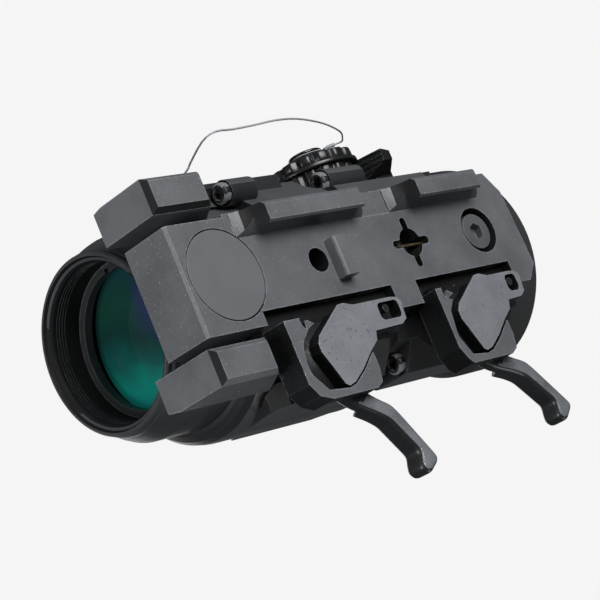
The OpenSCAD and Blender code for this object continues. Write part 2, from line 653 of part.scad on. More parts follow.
module shaft_bushings() color(brass) {
    difference() {
        rod_x(3.6, -22.6, -15, mag_y, axis_h);
        rod_x(2.4 + run, -24, -14, mag_y, axis_h);
    }
    difference() {
        rod_x(3.6, 14, 19.6, mag_y, axis_h);
        rod_x(2.4 + run, 13, 20.5, mag_y, axis_h);
    }
}

// Finger lever: hub on the shaft and a ribbed fin that points down
module magnification_lever() color(black) difference() {
    union() {
        rod_x(6.6, -27.4, -22.7, mag_y, axis_h);
        intersection() {
            along_x(-30, -22.9) polygon([
                [-53, 35], [-51.5, 28.4], [-54, 22.4], [-56.8, 22.2], [-61, 29], [-60.6, 35]
            ]);
            // the inner face leans outwards to the tip
            along_y(-62, -50) polygon([
                [-30, 21], [-30, 29.5], [-27.4, 34], [-22.9, 36], [-22.9, 31.5], [-27.6, 21]
            ]);
            // the outer face rounds off towards the back
            translate([0, 0, 20]) linear_extrude(20) polygon([
                [-30, -50], [-30, -54.4], [-29.2, -56.8], [-27.6, -59], [-24.8, -61], [-22, -62], [-22, -50]
            ]);
        }
    }
    // thumb grooves down the front of the fin
    for (i = [0 : 3]) translate([-29.2 + 1.25 * i, -51.4, 28.4]) rotate([157, 0, 0])
        translate([0, 0, -0.6]) cylinder(r = 0.35, h = 9, $fn = 16);
    rod_x(2.4, -26.8, -22, mag_y, axis_h);
    rod_x(1, -28, -22, mag_y, axis_h);
    rod_x(2.4, -31, -27.4, mag_y, axis_h);
}
module lever_screw() color(steel) difference() {
    union() {
        rod_x(0.85, -27.5, -21, mag_y, axis_h, $fn = 32);
        rod_x(2.2, -28.8, -27.4, mag_y, axis_h, $fn = 32);
    }
    translate([-28.8 - eps, mag_y, axis_h]) rotate([0, 90, 0]) hex_socket(1.6, 0.9);
}

// ---------- illumination ----------

module battery_tube() color(brass) difference() {
    rod_x(7, grip_x + 0.7, -20.2, dial_y, axis_h);
    rod_x(5.95, cap_x, -21, dial_y, axis_h);
}
module battery() color(steel) rod_x(5.8, -33, -22.4, dial_y, axis_h);
module battery_spring() color(steel) rod_x(3, -22.4, -21, dial_y, axis_h);

// A round grip with scallops around it, along X
module scalloped(r, x0, x1, scallops, bite) difference() {
    rod_x(r, x0, x1, dial_y, axis_h);
    for (i = [0 : scallops - 1]) translate([0, dial_y, axis_h]) rotate([360 * (i + 0.5) / scallops, 0, 0])
        rod_x(bite, x0 - 1, x1 + 1, 0, r + bite * 0.45, $fn = 48);
}

module brightness_dial() color(black) difference() {
    union() {
        scalloped(9.5, -28.9, -24.5, 14, 1.4);
        rod_x(11, -29.9, -28.9, dial_y, axis_h);
    }
    rod_x(7 + run, -31, -24, dial_y, axis_h);
}

// Scalloped cap with a cone up to a small hub, hollow for the tube's end and the battery
module battery_cap() color(black) difference() {
    union() {
        scalloped(cap_r, grip_x, -30, 14, 1.7);
        translate([grip_x, dial_y, axis_h]) rotate([0, -90, 0])
            cylinder(r1 = 9, r2 = 5.2, h = grip_x - shoulder_x);
        rod_x(3.5, cap_x, grip_x, dial_y, axis_h);
        rod_x(4.1, cap_x, cap_x + 0.6, dial_y, axis_h);
    }
    rod_x(7 + run, grip_x + 0.6, -29, dial_y, axis_h);
    rod_x(6.1, -33.1, -29, dial_y, axis_h);
    rod_x(8.3, -30.9, -29, dial_y, axis_h);
}
module cap_seal() color(black) difference() {
    rod_x(8.2, -30.85, -30.05, dial_y, axis_h);
    rod_x(7 + run, -32, -29, dial_y, axis_h);
}

// ---------- tether ----------

// Thin wire from the screw on the housing through a sleeve to a loop around the cap's hub
tether_r = 0.22;
sleeve = [[loop_x, -43.7, 28.4], [loop_x, -45.1, 27]];
fork = 1.3 * sleeve[0] - 0.3 * sleeve[1];
tether_points = concat([
    [-26, 18, 24.6], [-27.6, 16, 18], [-28.2, 16.4, 14.2], [-28, 18.9, 10.5], [-28.8, 23, 1],
    [-29.4, 21.6, -2.1], [-30.1, 14.7, -0.5], [-30.9, 6.9, 0.5], [-31.5, 0.2, 0.8], [-32.1, -8.4, 2.8],
    [-32.8, -20.7, 8], [-33.3, -30.5, 13.2], [-33.9, -39.5, 19], [-34.2, -44.8, 23.8],
    [-34.2, -46.3, 25.7], sleeve[1], sleeve[0], fork
], [for (a = [198 : -44 : -66]) [loop_x, dial_y + loop_r * cos(a), axis_h + loop_r * sin(a)]], [fork]);
// Point on the curve a share t of the way from point i to the next one
function tether_at(i, t) = let (
    last = len(tether_points) - 1,
    a = tether_points[max(i - 1, 0)], b = tether_points[i],
    c = tether_points[min(i + 1, last)], d = tether_points[min(i + 2, last)]
) (2 * b + (c - a) * t + (2 * a - 5 * b + 4 * c - d) * t * t + (3 * b - a - 3 * c + d) * t * t * t) / 2;
tether_curve = [for (i = [0 : len(tether_points) - 2], t = [0, 0.34, 0.67]) tether_at(i, t)];

module cap_tether() color(steel) for (i = [0 : len(tether_curve) - 2]) hull() {
    translate(tether_curve[i]) sphere(r = tether_r, $fn = 8);
    translate(tether_curve[i + 1]) sphere(r = tether_r, $fn = 8);
}
// Crimped sleeve that closes the loop
module tether_sleeve() color(steel) difference() {
    along = sleeve[1] - sleeve[0];
    translate(sleeve[0]) rotate([atan2(-along[1], along[2]), 0, 0]) cylinder(r = 0.45, h = norm(along));
    translate(sleeve[0] - along) rotate([atan2(-along[1], along[2]), 0, 0])
        cylinder(r = tether_r + 0.03, h = 3 * norm(along), $fn = 24);
}
module tether_screw() color(steel) {
    rod_x(0.95, -25.5, -21, 18, 27, $fn = 32);
    rod_x(2, -26.2, -25.4, 18, 27, $fn = 32);
}

mount_base();
pivot_cover();
pivot_pin();
recoil_lug();
windage_nut();
nut_lock_wire();
front_clamp_bracket();
rear_clamp_bracket();
clamp_screws();
lever_pins();
jaw_guide_pins();
front_jaw();
front_lever();
rear_jaw();
rear_lever();
traverse_plate();
tilt_pin();
preload_spring();
windage_screw();
elevation_wheel();
elevation_axle();
elevation_nut();
main_housing();
left_cheek();
right_cheek();
cheek_screws();
side_screws();
tilt_bushings();
objective_bell();
objective_retainer();
objective_crown();
objective_flint();
prism_cradle();
prism_front();
prism_rear();
reticle_cell();
reticle_glass();
reticle_lamp();
top_cover();
top_cover_screws();
eyepiece_body();
field_lens();
lens_spacer();
eye_lens();
eyepiece_retainer();
eyecup();
lens_carrier();
carrier_lenses();
magnification_lever();
lever_screw();
shaft_bushings();
battery_tube();
battery();
battery_spring();
brightness_dial();
battery_cap();
cap_seal();
cap_tether();
tether_sleeve();
tether_screw();
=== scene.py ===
"""Looks of the compact prism sight: materials, softened and hand-made pieces, studio and camera."""
import json
import math

import bmesh
import bpy
from mathutils import Matrix, Vector

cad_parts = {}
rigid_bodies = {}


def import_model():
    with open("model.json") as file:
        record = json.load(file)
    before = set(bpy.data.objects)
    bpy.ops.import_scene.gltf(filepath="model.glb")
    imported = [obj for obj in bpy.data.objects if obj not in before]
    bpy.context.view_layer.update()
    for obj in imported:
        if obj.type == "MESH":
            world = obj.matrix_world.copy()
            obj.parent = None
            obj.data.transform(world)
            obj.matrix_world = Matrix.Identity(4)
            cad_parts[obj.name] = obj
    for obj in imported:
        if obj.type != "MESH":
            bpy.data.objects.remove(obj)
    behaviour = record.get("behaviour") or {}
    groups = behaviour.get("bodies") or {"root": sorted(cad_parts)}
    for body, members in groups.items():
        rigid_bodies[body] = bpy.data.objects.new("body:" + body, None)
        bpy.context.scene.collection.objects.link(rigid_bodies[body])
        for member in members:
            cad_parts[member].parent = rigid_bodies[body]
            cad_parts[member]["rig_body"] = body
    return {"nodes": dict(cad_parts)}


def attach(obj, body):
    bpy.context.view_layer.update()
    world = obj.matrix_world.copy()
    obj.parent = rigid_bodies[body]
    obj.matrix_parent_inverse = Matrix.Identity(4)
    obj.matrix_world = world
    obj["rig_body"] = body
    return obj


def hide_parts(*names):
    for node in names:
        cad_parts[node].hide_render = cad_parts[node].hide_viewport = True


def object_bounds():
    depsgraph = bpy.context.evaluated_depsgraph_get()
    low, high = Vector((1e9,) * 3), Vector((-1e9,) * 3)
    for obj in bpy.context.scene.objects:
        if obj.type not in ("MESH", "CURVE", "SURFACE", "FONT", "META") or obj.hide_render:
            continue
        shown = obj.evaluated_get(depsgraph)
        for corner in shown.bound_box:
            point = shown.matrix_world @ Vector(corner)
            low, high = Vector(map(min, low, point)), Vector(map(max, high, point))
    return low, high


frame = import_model()
size_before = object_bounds()

MM = 0.001
AXIS_Z = 33.6 * MM
PALE = (0.913, 0.913, 0.913, 1)


# ---------- shader helpers ----------

class Shader:
    """A material's node tree with short names for the nodes used here."""

    def __init__(self, name):
        self.material = bpy.data.materials.new(name)
        self.material.use_nodes = True
        self.tree = self.material.node_tree
        self.tree.nodes.clear()
        self.output = self.tree.nodes.new("ShaderNodeOutputMaterial")
        self.place = self.tree.nodes.new("ShaderNodeTexCoord").outputs["Object"]

    def node(self, kind, **inputs):
        made = self.tree.nodes.new("ShaderNode" + kind)
        for key, value in inputs.items():
            self.feed(made.inputs[key.replace("_", " ")], value)
        return made

    def feed(self, socket, value):
        if isinstance(value, bpy.types.NodeSocket):
            self.tree.links.new(value, socket)
        else:
            socket.default_value = value

    def noise(self, per_mm, detail=4, rough=0.6, stretch=None):
        place = self.place
        if stretch:
            mapping = self.node("Mapping", Vector=place, Scale=stretch)
            place = mapping.outputs[0]
        made = self.node("TexNoise", Vector=place, Scale=per_mm / MM, Detail=detail, Roughness=rough)
        return made.outputs["Fac"]

    def ramp(self, value, low, high, start=0.0, end=1.0):
        made = self.node("MapRange", Value=value)
        made.inputs["From Min"].default_value = low
        made.inputs["From Max"].default_value = high
        made.inputs["To Min"].default_value = start
        made.inputs["To Max"].default_value = end
        return made.outputs[0]

    def math(self, operation, a, b=0.0):
        made = self.tree.nodes.new("ShaderNodeMath")
        made.operation = operation
        self.feed(made.inputs[0], a)
        self.feed(made.inputs[1], b)
        return made.outputs[0]

    def mix(self, share, a, b):
        made = self.tree.nodes.new("ShaderNodeMix")
        made.data_type = "RGBA"
        self.feed(made.inputs[0], share)
        self.feed(made.inputs[6], a)
        self.feed(made.inputs[7], b)
        return made.outputs[2]

    def edges(self, radius, low, high):
        """1 on sharp outer edges, 0 on flat areas."""
        bevel = self.node("Bevel", Radius=radius)
        geometry = self.tree.nodes.new("ShaderNodeNewGeometry")
        dot = self.tree.nodes.new("ShaderNodeVectorMath")
        dot.operation = "DOT_PRODUCT"
        self.feed(dot.inputs[0], bevel.outputs[0])
        self.feed(dot.inputs[1], geometry.outputs["Normal"])
        return self.ramp(dot.outputs["Value"], high, low)

    def finish(self, shader):
        self.tree.links.new(shader, self.output.inputs["Surface"])
        return self.material


def grey(level):
    """A faintly blue grey."""
    return (level * 0.95, level, level * 1.07, 1)


def coating(name, dark, pale, rough=0.45, fleck=0.3, edge_wear_glint_share=0.4, worn=grey(0.35), shine=0.5):
    """Anodised, painted or worn metal: mottled colour, pale flecks, small pits, worn edges that are also a painted
    edge highlight, and a fine grain.
    """
    s = Shader(name)
    cloud = s.noise(0.06, 4, 0.6)
    fine = s.noise(2.4, 3, 0.7)
    flecks = s.ramp(s.noise(1.7, 2, 0.6), 0.66, 0.72)
    pits = s.ramp(s.noise(1.1, 2, 0.6), 0.66, 0.72)
    colour = s.mix(s.ramp(cloud, 0.35, 0.65), dark, pale)
    colour = s.mix(s.math("MULTIPLY", s.ramp(fine, 0.35, 0.75), 0.4), colour, pale)
    colour = s.mix(s.math("MULTIPLY", flecks, fleck), colour, worn)
    colour = s.mix(s.math("MULTIPLY", pits, fleck), colour, grey(0.03))
    # edges worn pale, which also stand for a painted edge highlight
    edge_wear_and_glint = s.math("MULTIPLY", s.edges(0.5 * MM, 0.8, 0.98), s.ramp(s.noise(0.6, 4, 0.7), 0.36, 0.56))
    colour = s.mix(s.math("MULTIPLY", edge_wear_and_glint, edge_wear_glint_share), colour, worn)
    roughness = s.ramp(fine, 0.3, 0.7, rough - 0.07, rough + 0.09)
    bevel = s.node("Bevel", Radius=0.12 * MM)
    relief = s.node("Bump", Strength=0.12, Distance=0.02 * MM, Height=fine, Normal=bevel.outputs[0])
    shader = s.node("BsdfPrincipled", Base_Color=colour, Roughness=roughness, Normal=relief.outputs[0])
    shader.inputs["Specular IOR Level"].default_value = shine
    return s.finish(shader.outputs[0])


def scratched_steel(name, dark, pale, rough=0.42, metal=0.5):
    """Phosphated steel with a fine grain, long scratches, small dents and a few bright specks."""
    s = Shader(name)
    cloud = s.noise(0.12, 4, 0.6)
    fine = s.noise(3.0, 3, 0.8)
    scratch = s.ramp(s.noise(1.6, 2, 0.4, stretch=(1, 0.06, 1)), 0.66, 0.72)
    specks = s.ramp(s.noise(2.2, 2, 0.6), 0.66, 0.71)
    dents = s.ramp(s.noise(0.9, 2, 0.6), 0.65, 0.70)
    colour = s.mix(s.ramp(cloud, 0.3, 0.7), dark, pale)
    colour = s.mix(s.math("MULTIPLY", s.ramp(fine, 0.4, 0.8), 0.4), colour, pale)
    colour = s.mix(s.math("MULTIPLY", scratch, 0.2), colour, grey(0.45))
    colour = s.mix(s.math("MULTIPLY", specks, 0.35), colour, grey(0.5))
    colour = s.mix(s.math("MULTIPLY", dents, 0.45), colour, grey(0.08))
    # edges worn pale, which also stand for a painted edge highlight
    edge_wear_and_glint = s.math("MULTIPLY", s.edges(0.5 * MM, 0.8, 0.98), s.ramp(s.noise(0.8, 4, 0.7), 0.36, 0.56))
    colour = s.mix(s.math("MULTIPLY", edge_wear_and_glint, 0.7), colour, grey(0.5))
    roughness = s.ramp(fine, 0.3, 0.7, rough - 0.08, rough + 0.12)
    bevel = s.node("Bevel", Radius=0.15 * MM)
    height = s.math("ADD", fine, s.math("MULTIPLY", s.math("ADD", scratch, dents), -0.6))
    relief = s.node("Bump", Strength=0.5, Distance=0.05 * MM, Height=height, Normal=bevel.outputs[0])
    shader = s.node("BsdfPrincipled", Base_Color=colour, Roughness=roughness, Metallic=metal,
                    Normal=relief.outputs[0])
    return s.finish(shader.outputs[0])


def bare_metal(name, colour_low, colour_high, rough=0.3):
    s = Shader(name)
    turned = s.noise(1.5, 3, 0.6, stretch=(1, 1, 0.1))
    colour = s.mix(turned, colour_low, colour_high)
    bevel = s.node("Bevel", Radius=0.1 * MM)
    relief = s.node("Bump", Strength=0.15, Distance=0.02 * MM, Height=turned, Normal=bevel.outputs[0])
    roughness = s.ramp(turned, 0.3, 0.7, rough - 0.06, rough + 0.1)
    shader = s.node("BsdfPrincipled", Base_Color=colour, Roughness=roughness, Metallic=1.0,
                    Normal=relief.outputs[0])
    return s.finish(shader.outputs[0])


def rubber(name):
    s = Shader(name)
    fine = s.noise(1.8, 4, 0.7)
    colour = s.mix(fine, grey(0.012), grey(0.03))
    relief = s.node("Bump", Strength=0.3, Distance=0.03 * MM, Height=fine)
    roughness = s.ramp(fine, 0.2, 0.8, 0.6, 0.8)
    shader = s.node("BsdfPrincipled", Base_Color=colour, Roughness=roughness, Normal=relief.outputs[0])
    return s.finish(shader.outputs[0])


def clear_glass(name, tint):
    s = Shader(name)
    smear = s.noise(0.05, 2, 0.5)
    colour = s.mix(smear, tint, (0.95, 0.97, 0.97, 1))
    shader = s.node("BsdfPrincipled", Base_Color=colour, Roughness=s.ramp(smear, 0, 1, 0.01, 0.05), IOR=1.52)
    shader.inputs["Transmission Weight"].default_value = 0.9
    return s.finish(shader.outputs[0])


def lens_reflection_and_glow(name):
    """Deep lens with painted reflections of its coating, violet near the bottom, dark teal in the middle and green on
    the lever side, and a painted glow.
    """
    s = Shader(name)
    split = s.node("SeparateXYZ", Vector=s.place)
    across = s.math("MULTIPLY", split.outputs["X"], 1 / (17 * MM))
    up = s.math("MULTIPLY", s.math("SUBTRACT", split.outputs["Z"], AXIS_Z), 1 / (17 * MM))
    wave = s.math("MULTIPLY", s.math("SUBTRACT", s.noise(0.07, 2, 0.5), 0.5), 0.9)
    place = s.math("ADD", s.math("ADD", across, s.math("MULTIPLY", up, 0.35)), wave)
    colours = s.tree.nodes.new("ShaderNodeValToRGB")
    s.feed(colours.inputs[0], s.ramp(place, -1.1, 1.1))
    stops = [(0.0, (0.006, 0.02, 0.03, 1)), (0.3, (0.005, 0.03, 0.022, 1)), (0.5, (0.004, 0.022, 0.02, 1)),
             (0.68, (0.004, 0.05, 0.045, 1)), (0.8, (0.004, 0.12, 0.095, 1)), (1.0, (0.005, 0.09, 0.10, 1))]
    ramp = colours.color_ramp
    ramp.elements[0].position, ramp.elements[0].color = stops[0]
    ramp.elements[1].position, ramp.elements[1].color = stops[-1]
    for position, colour in stops[1:-1]:
        ramp.elements.new(position).color = colour
    # painted reflection: a violet patch towards the bottom of the lens
    aside = s.math("POWER", s.math("ADD", across, 0.28), 2)
    above = s.math("POWER", s.math("ADD", up, 0.5), 2)
    away = s.math("ADD", aside, above)
    patch = s.ramp(s.math("ADD", away, wave), 0.3, 0.0, 0.0, 0.7)
    colour = s.mix(patch, colours.outputs[0], (0.016, 0.014, 0.07, 1))
    shader = s.node("BsdfPrincipled", Base_Color=colour, Roughness=0.04, IOR=1.5)
    # painted glow: the lens gives off light in its own colour
    s.feed(shader.inputs["Emission Color"], colour)
    shader.inputs["Emission Strength"].default_value = 0.5
    return s.finish(shader.outputs[0])


# ---------- finishes ----------

SHEEN = {   # name: darkest and palest level, roughness, share of flecks, share of worn edges (also a painted edge highlight) and their level
    "body": (0.016, 0.026, 0.36, 0.08, 0.3, 0.16),
    # side: painted light for flat housing panels and faces turned towards the key lamp
    "side": (0.055, 0.075, 0.45, 0.1, 0.3, 0.2),
    "cheek": (0.078, 0.125, 0.45, 0.35, 0.7, 0.38),
    "bell": (0.03, 0.045, 0.4, 0.06, 0.3, 0.2),
    # flank: painted shade for the hook flanks
    "flank": (0.035, 0.055, 0.5, 0.3, 0.5, 0.35),
    "base": (0.078, 0.125, 0.5, 0.45, 0.7, 0.35),
    "disc": (0.11, 0.125, 0.5, 0.12, 0.2, 0.3),
    "lever": (0.012, 0.02, 0.32, 0.12, 0.3, 0.2),
    # head: painted highlight for the bevel ring of the side screws
    "head": (0.16, 0.2, 0.4, 0.2, 0.5, 0.5),
    "wheel_head": (0.07, 0.1, 0.4, 0.2, 0.5, 0.3),
    "wire": (0.3, 0.42, 0.3, 0.0, 0.0, 0.35),
    "plastic": (0.008, 0.014, 0.28, 0.03, 0.1, 0.1),
}
finish = {
    name: coating(name + "_coating", grey(dark), grey(pale), rough, fleck, edge_wear_glint_share, grey(worn))
    for name, (dark, pale, rough, fleck, edge_wear_glint_share, worn) in SHEEN.items()
}
finish.update({
    # painted shadow: near-black finish for faces that sit in shade
    "shadow": coating("painted_shadow", grey(0.006), grey(0.012), rough=0.55, fleck=0.0, edge_wear_glint_share=0.0, shine=0.15),
    # painted shade: near-black walls of the jaws and brackets, with worn edges
    "jaw_wall_shade": coating("jaw_wall_shade", grey(0.006), grey(0.014), 0.4, 0.1, 0.6, grey(0.3), shine=0.12),
    "bracket": scratched_steel("bracket_steel", grey(0.14), grey(0.2)),
    "jaw": scratched_steel("jaw_steel", grey(0.24), grey(0.33)),
    # painted highlight: pale scratched band for the down-facing faces of the lever arms
    "lever_band_highlight": scratched_steel("lever_band_highlight", grey(0.16), grey(0.34), rough=0.3),
    "steel": bare_metal("plain_steel", grey(0.30), grey(0.45)),
    "dark_steel": bare_metal("dark_steel", grey(0.03), grey(0.07), rough=0.35),
    "brass": bare_metal("brass", (0.55, 0.42, 0.20, 1), (0.80, 0.66, 0.38, 1)),
    "nickel": bare_metal("nickel", grey(0.5), grey(0.7), rough=0.2),
    "rubber": rubber("rubber"),
    "glass": clear_glass("clear_glass", (0.85, 0.93, 0.92, 1)),
    "lens": lens_reflection_and_glow("lens_reflection_and_glow"),
})

NODE_FINISH = {
    "base": ["mount_base", "recoil_lug"],
    "disc": ["pivot_cover"],
    "cheek": ["left_cheek", "right_cheek"],
    "jaw": ["front_jaw", "rear_jaw"],
    "bracket": ["front_clamp_bracket", "rear_clamp_bracket"],
    # the jaw guide pins take this near-black finish so the jaw windows stay dark: painted shade
    "lever": ["front_lever", "rear_lever", "side_screws", "windage_nut", "jaw_guide_pins"],
    "bell": ["objective_bell"],
    "steel": ["pivot_pin", "lever_pins", "preload_spring", "lever_screw", "tether_screw", "battery_spring"],
    "wire": ["cap_tether", "tether_sleeve"],
    "wheel_head": ["elevation_axle"],
    "dark_steel": ["clamp_screws", "cheek_screws", "top_cover_screws", "tilt_pin", "windage_screw"],
    "brass": ["nut_lock_wire", "elevation_nut", "shaft_bushings", "tilt_bushings", "battery_tube"],
    "nickel": ["battery"],
    "rubber": ["eyecup", "cap_seal"],
    "plastic": ["brightness_dial", "battery_cap", "reticle_lamp", "magnification_lever"],
    "glass": ["objective_flint", "prism_front", "prism_rear", "reticle_glass", "field_lens", "eye_lens", "carrier_lenses"],
    "lens": ["objective_crown"],
}
finish_of = {node: key for key, members in NODE_FINISH.items() for node in members}


def dress(obj, key):
    obj.data.materials.clear()
    obj.data.materials.append(finish[key])


def paint(obj, key, chosen):
    """A second finish on the faces for which chosen(normal, centre in mm) holds."""
    obj.data.materials.append(finish[key])
    slot = len(obj.data.materials) - 1
    for face in obj.data.polygons:
        if chosen(face.normal, face.center / MM):
            face.material_index = slot


for name, node in frame["nodes"].items():
    dress(node, finish_of.get(name, "body"))


# ---------- softened copies of CAD nodes ----------

def soften(name, width, segments=3, angle=28):
    """A copy of a CAD node with real rounded edges, shown in its place."""
    source = frame["nodes"][name]
    mesh = bmesh.new()
    mesh.from_mesh(source.data)
    bmesh.ops.remove_doubles(mesh, verts=mesh.verts, dist=0.002 * MM)
    bmesh.ops.dissolve_limit(mesh, angle_limit=math.radians(1.0), verts=mesh.verts, edges=mesh.edges)
    data = bpy.data.meshes.new(name + "_soft")
    mesh.to_mesh(data)
    mesh.free()
    copy = bpy.data.objects.new(name + "_soft", data)
    bpy.context.scene.collection.objects.link(copy)
    bevel = copy.modifiers.new("bevel", "BEVEL")
    bevel.width = width * MM
    bevel.segments = segments
    bevel.limit_method = "ANGLE"
    bevel.angle_limit = math.radians(angle)
    bevel.harden_normals = True
    dress(copy, finish_of.get(name, "body"))
    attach(copy, source["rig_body"])
    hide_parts(name)
    return copy


ROUNDING = {"left_cheek": 0.25, "right_cheek": 0.25, "recoil_lug": 0.25, "front_jaw": 0.35, "rear_jaw": 0.35,
            "front_clamp_bracket": 0.35, "rear_clamp_bracket": 0.35, "mount_base": 0.2, "magnification_lever": 0.45,
            "top_cover": 0.3, "side_screws": 0.15, "elevation_axle": 0.12, "pivot_cover": 0.12}
soft = {name: soften(name, width) for name, width in ROUNDING.items()}


def show_instead(name, mesh):
    """A hand-made mesh in the place of a CAD node."""
    mesh_data = bpy.data.meshes.new(name + "_shape")
    mesh.to_mesh(mesh_data)
    mesh.free()
    made = bpy.data.objects.new(name + "_shape", mesh_data)
    bpy.context.scene.collection.objects.link(made)
    dress(made, finish_of.get(name, "body"))
    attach(made, frame["nodes"][name]["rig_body"])
    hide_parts(name)
    return made


def shade_smooth(obj, angle):
    obj.data.shade_smooth()
    bpy.context.view_layer.objects.active = obj
    obj.select_set(True)
    bpy.ops.object.shade_smooth_by_angle(angle=math.radians(angle))
    obj.select_set(False)


# ---------- throw levers ----------

LEVER_Z = (-0.75, 2.55, 4.45)       # underside, top inside the bracket, top of the arm
ARM_FRONT = [(4, 6.4), (8.6, 5), (10.6, 4), (14.5, 1.8), (17.2, 0.7), (26.2, 0.65), (27.1, 1.2), (28, 3.3), (30, 3.4),
             (31, 2.6), (32, 2.6)]
ARM_BACK = [(4, 0.4), (10.4, -0.5), (12.6, -1.4), (15.6, -2.9), (17.9, -3.05), (30, -2.4), (31, -2), (32, -2)]
ARM_X = (4.8, 31.1)                 # ends of the arm, in the frame of its pivot
ARM_EDGE = 1.2


def edge_at(points, x):
    """Where an edge of the arm lies at x, averaged over a short stretch so that its corners are soft."""
    found = []
    for place in (x - 0.8, x - 0.4, x, x + 0.4, x + 0.8):
        low, high = next(pair for pair in zip(points, points[1:]) if place <= pair[1][0])
        found.append(low[1] + (high[1] - low[1]) * (place - low[0]) / (high[0] - low[0]))
    return sum(found) / len(found)


def arm_section(x, shrink):
    """Rounded rectangle across the arm at x."""
    lift = min(max((x - 10.7) / 0.8, 0), 1)
    low = LEVER_Z[0] + shrink
    high = LEVER_Z[1] + (LEVER_Z[2] - LEVER_Z[1]) * lift - shrink
    front = edge_at(ARM_FRONT, x) - shrink
    back = edge_at(ARM_BACK, x) + shrink
    radius = max(ARM_EDGE - shrink * 0.5, 0.3)
    corners = ((front, high, 0), (back, high, 90), (back, low, 180), (front, low, 270))
    points = []
    for y, z, start in corners:
        centre_y = y - math.copysign(radius, y - (front + back) / 2)
        centre_z = z - math.copysign(radius, z - (low + high) / 2)
        for i in range(7):
            angle = math.radians(start + 15 * i)
            points.append((centre_y + radius * math.cos(angle), centre_z + radius * math.sin(angle)))
    return points


def lever_mesh(pivot, turn):
    """Rounded arm of one lever, lofted along its length with a rounded tip."""
    place = Matrix.Translation((pivot[0], pivot[1], 0)) @ Matrix.Rotation(math.radians(turn), 4, "Z")
    straight = [ARM_X[0] + 0.4 * i for i in range(int((ARM_X[1] - ARM_EDGE - ARM_X[0]) / 0.4))]
    sections = [(x, 0) for x in straight]
    for i in range(6):
        angle = math.radians(15 * i)
        sections.append((ARM_X[1] - ARM_EDGE * (1 - math.sin(angle)), ARM_EDGE * (1 - math.cos(angle))))
    mesh = bmesh.new()
    rings = []
    for x, shrink in sections:
        rings.append([mesh.verts.new(place @ Vector((x, y, z))) for y, z in arm_section(x, shrink)])
    for a, b in zip(rings, rings[1:]):
        for i in range(len(a)):
            j = (i + 1) % len(a)
            mesh.faces.new((a[i], b[i], b[j], a[j]))
    mesh.faces.new(rings[0])
    mesh.faces.new(reversed(rings[-1]))
    bmesh.ops.recalc_face_normals(mesh, faces=mesh.faces)
    return mesh


def helper(name, mesh):
    data = bpy.data.meshes.new(name)
    mesh.to_mesh(data)
    mesh.free()
    made = bpy.data.objects.new(name, data)
    bpy.context.scene.collection.objects.link(made)
    return made


def throw_lever(name, pivot, turn):
    """The hub and cam of the CAD lever with the rounded arm joined on; the joining is done in millimetres."""
    hub = bmesh.new()
    hub.from_mesh(frame["nodes"][name].data)
    bmesh.ops.scale(hub, vec=(1 / MM, 1 / MM, 1 / MM), verts=hub.verts)
    bmesh.ops.remove_doubles(hub, verts=hub.verts, dist=0.002)
    keep = bmesh.new()
    bmesh.ops.create_cone(keep, cap_ends=True, segments=96, radius1=8.05, radius2=8.05, depth=20,
                          matrix=Matrix.Translation((pivot[0], pivot[1], 0)))
    parts = [helper("hub", hub), helper("keep", keep), helper("arm", lever_mesh(pivot, turn))]
    for part, operation in zip(parts[1:], ("INTERSECT", "UNION")):
        step = parts[0].modifiers.new(operation.lower(), "BOOLEAN")
        step.operation = operation
        step.solver = "MANIFOLD"
        step.object = part
    joined = bmesh.new()
    joined.from_object(parts[0], bpy.context.evaluated_depsgraph_get())
    bmesh.ops.scale(joined, vec=(MM, MM, MM), verts=joined.verts)
    for part in parts:
        bpy.data.objects.remove(part)
    made = show_instead(name, joined)
    shade_smooth(made, 30)
    middle = Vector((pivot[0], pivot[1], 0))
    # painted highlight on the down-facing arm faces away from the hub
    paint(made, "lever_band_highlight",
          lambda normal, centre: normal.z < -0.9 and (centre - middle).xy.length > 10)
    return made


throw_lever("front_lever", (21.7, 12.8), -31.4)
throw_lever("rear_lever", (21.7, -31.6), -40)


# ---------- dial and battery cap ----------

DIAL_Y = -41.4
LOBES = 14


def lobed(name, profile, smooth=40):
    """A closed (x, radius, lobe depth) profile turned about the dial's axis, with soft lobes around it."""
    around = 14 * LOBES
    mesh = bmesh.new()
    rings = []
    for x, radius, depth in profile:
        ring = []
        for i in range(around):
            angle = 2 * math.pi * i / around
            valley = ((1 - math.cos(LOBES * angle)) / 2) ** 3
            r = radius - depth * valley
            ring.append(mesh.verts.new((x * MM, (DIAL_Y + r * math.sin(angle)) * MM, AXIS_Z + r * math.cos(angle) * MM)))
        rings.append(ring)
    for a, b in zip(rings, rings[1:] + rings[:1]):
        for i in range(around):
            j = (i + 1) % around
            mesh.faces.new((a[i], b[i], b[j], a[j]))
    bmesh.ops.remove_doubles(mesh, verts=mesh.verts, dist=0.001 * MM)
    bmesh.ops.recalc_face_normals(mesh, faces=mesh.faces)
    made = show_instead(name, mesh)
    shade_smooth(made, smooth)
    return made


lobed("brightness_dial", [
    (-24.5, 7.05, 0), (-24.5, 9.2, 0.7), (-24.6, 9.42, 0.8), (-24.8, 9.5, 0.8), (-28.9, 9.5, 0.8), (-28.9, 10.7, 0),
    (-28.98, 10.93, 0), (-29.2, 11, 0), (-29.6, 11, 0), (-29.82, 10.93, 0), (-29.9, 10.7, 0), (-29.9, 7.05, 0)])
lobed("battery_cap", [
    (-30, 8.3, 0), (-30, 10, 0.8), (-30.12, 10.28, 0.9), (-30.4, 10.4, 0.95), (-31.9, 10.4, 0.95),
    (-32.18, 10.28, 0.9), (-32.3, 10, 0.8), (-32.36, 9, 0), (-33.82, 5.4, 0), (-33.9, 5.15, 0), (-33.9, 3.5, 0),
    (-34.5, 3.5, 0), (-34.5, 4, 0), (-34.6, 4.1, 0), (-34.9, 4.1, 0), (-35.1, 3.85, 0), (-35.1, 0, 0),
    (-33.1, 0, 0), (-33.1, 6.1, 0), (-31.7, 6.1, 0), (-31.7, 7.05, 0), (-30.9, 7.05, 0), (-30.9, 8.3, 0)])
